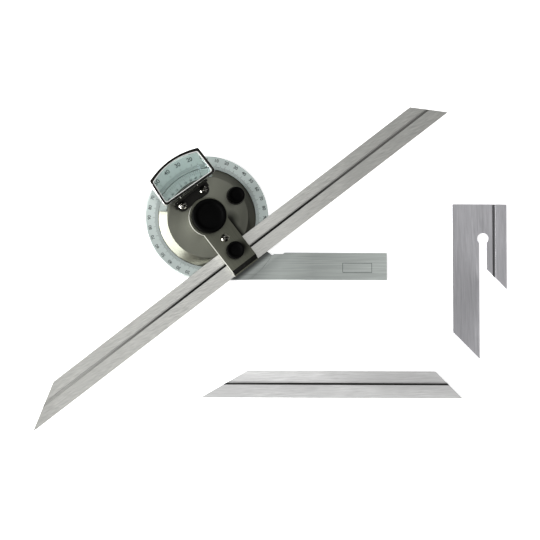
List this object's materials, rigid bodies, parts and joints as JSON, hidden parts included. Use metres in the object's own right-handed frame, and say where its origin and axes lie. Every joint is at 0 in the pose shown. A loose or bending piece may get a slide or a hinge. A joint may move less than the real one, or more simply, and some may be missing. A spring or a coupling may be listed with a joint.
{
  "type": "bevel protractor",
  "caption": "Universal bevel protractor with magnifier, long blade, spare short blade and acute-angle attachment.",
  "frame": {"origin": "on the dial's axis, in the plane of the back face", "axes": "+X along the stock, away from the dial; +Z along the dial's axis, out of its face"},
  "size_m": [0.2717, 0.1859, 0.021],
  "materials": {
    "satin_chrome": "satin, etched black",
    "ground_steel": "ground across",
    "stock_steel": "ground lengthwise",
    "turned_steel": "turned, satin",
    "bright_steel": "polished",
    "black_plastic": "satin black",
    "black_enamel": "gloss black",
    "gear_brass": "cut teeth",
    "lens_glass": "clear"
  },
  "bodies": {
    "stock": {"stock_body": "stock_steel", "scale_ring": "satin_chrome", "ring_gear": "gear_brass", "back_plate": "stock_steel", "centre_stud": "bright_steel", "ring_screw_1": "bright_steel", "ring_screw_2": "bright_steel", "ring_screw_3": "bright_steel", "back_screw_1": "bright_steel", "back_screw_2": "bright_steel", "back_screw_3": "bright_steel", "back_screw_4": "bright_steel"},
    "swivel": {"swivel_disc": "turned_steel", "vernier_plate": "satin_chrome", "vernier_screw_1": "bright_steel", "vernier_screw_2": "bright_steel", "arm": "turned_steel", "arm_screw": "bright_steel", "arm_dowel_1": "bright_steel", "arm_dowel_2": "bright_steel", "pinion_bush": "bright_steel", "lock_washer": "bright_steel", "lock_spring_washer": "bright_steel", "clamp_washer": "bright_steel", "clamp_spring_washer": "bright_steel", "magnifier_bracket": "black_enamel", "bracket_screw_1": "bright_steel", "bracket_screw_2": "bright_steel", "magnifier_frame": "bright_steel", "magnifier_lens": "lens_glass", "frame_pin_1": "bright_steel", "frame_pin_2": "bright_steel"},
    "lock_nut": {"lock_knob": "black_plastic", "lock_insert": "gear_brass"},
    "fine_adjuster": {"fine_knob": "black_plastic", "pinion_shaft": "bright_steel", "pinion": "gear_brass"},
    "blade_lock": {"clamp_knob": "black_plastic", "clamp_stud": "bright_steel"},
    "shoe": {"clamp_shoe": "bright_steel"},
    "blade": {"long_blade": "ground_steel"},
    "spare_blade": {"short_blade": "ground_steel"},
    "attachment": {"acute_attachment": "ground_steel"}
  },
  "joints": [
    {"name": "swivel_turn", "type": "hinge", "parent": "stock", "child": "swivel", "pos_m": [0, 0, 0], "axis": [0, 0, 1], "continuous": true},
    {"name": "fine_adjust", "type": "hinge", "parent": "swivel", "child": "fine_adjuster", "pos_m": [0.01584, 0.01221, 0], "axis": [0, 0, 1], "continuous": true},
    {"name": "lock_turn", "type": "hinge", "parent": "swivel", "child": "lock_nut", "pos_m": [0, 0, 0], "axis": [0, 0, 1], "range_deg": [0, 180]},
    {"name": "blade_lock_turn", "type": "hinge", "parent": "swivel", "child": "blade_lock", "pos_m": [0.0149, -0.01932, 0], "axis": [0, 0, 1], "range_deg": [0, 90]},
    {"name": "shoe_slide", "type": "slide", "parent": "swivel", "child": "shoe", "axis": [0.6106, -0.792, 0], "range_m": [0, 0.00025]},
    {"name": "blade_slide", "type": "slide", "parent": "swivel", "child": "blade", "axis": [0.792, 0.6106, 0], "range_m": [-0.11, 0.12]},
    {"name": "spare_blade_lift", "type": "slide", "parent": "stock", "child": "spare_blade", "axis": [0, 0, 1], "range_m": [0, 0.04]},
    {"name": "attachment_lift", "type": "slide", "parent": "stock", "child": "attachment", "axis": [0, 0, 1], "range_m": [0, 0.04]}
  ],
  "couplings": [
    {"joint": "fine_adjust", "follows": "swivel_turn", "ratio": -5.1667},
    {"joint": "blade_lock_turn", "follows": "shoe_slide", "rad_per_m": 6283.2}
  ]
}
